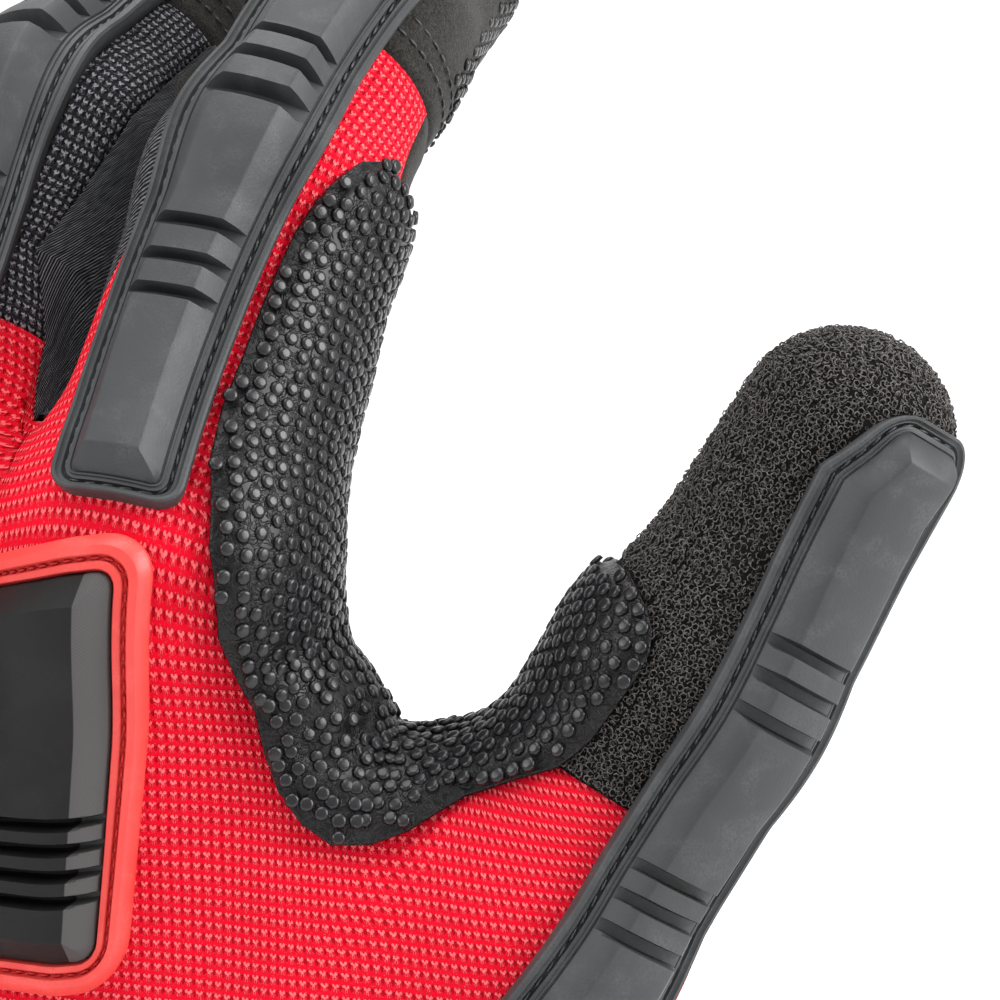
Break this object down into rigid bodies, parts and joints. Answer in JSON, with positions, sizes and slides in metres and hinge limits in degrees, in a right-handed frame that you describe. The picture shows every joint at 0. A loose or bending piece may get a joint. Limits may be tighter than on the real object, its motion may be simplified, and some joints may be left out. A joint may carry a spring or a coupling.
{
  "type": "impact glove",
  "caption": "Left-hand impact work glove of red knit with moulded rubber finger strips, knuckle guard, dotted thumb web patch and terry thumb.",
  "frame": {"origin": "in the plane of the cuff's edge, 6 mm from the centre of its opening towards the back of the hand", "axes": "+Z along the hand from the cuff to the fingers, +X towards the thumb side, -Y out of the back of the hand"},
  "size_m": [0.1743, 0.1105, 0.2221],
  "materials": {
    "red_knit": "matte knitted mesh",
    "grey_knit": "matte melange knit",
    "suede": "matte suede-like synthetic leather",
    "stretch": "fine-ribbed stretch fabric",
    "terry": "looped terry cloth",
    "dotted_grip": "coated fabric with raised glossy dots",
    "grey_rubber": "matte moulded rubber",
    "red_rubber": "satin moulded rubber",
    "charcoal_rubber": "satin moulded rubber",
    "black_knit": "matte ribbed knit",
    "black_binding": "woven tape"
  },
  "bodies": {
    "root": {"back_panel": "red_knit", "palm_panel": "suede", "little_back": "grey_knit", "ring_back": "grey_knit", "middle_back": "grey_knit", "gusset_ring_little": "stretch", "gusset_middle_ring": "stretch", "gusset_index_middle": "stretch", "little_cap": "suede", "ring_cap": "suede", "middle_cap": "suede", "index_cap": "suede", "thumb_terry": "terry", "crotch_patch": "dotted_grip", "cuff": "black_knit", "cuff_binding": "black_binding", "index_strip": "grey_rubber", "middle_strip": "grey_rubber", "ring_strip": "grey_rubber", "little_strip": "grey_rubber", "thumb_strip": "grey_rubber", "guard_flange": "red_rubber", "guard_block": "charcoal_rubber"}
  },
  "joints": []
}
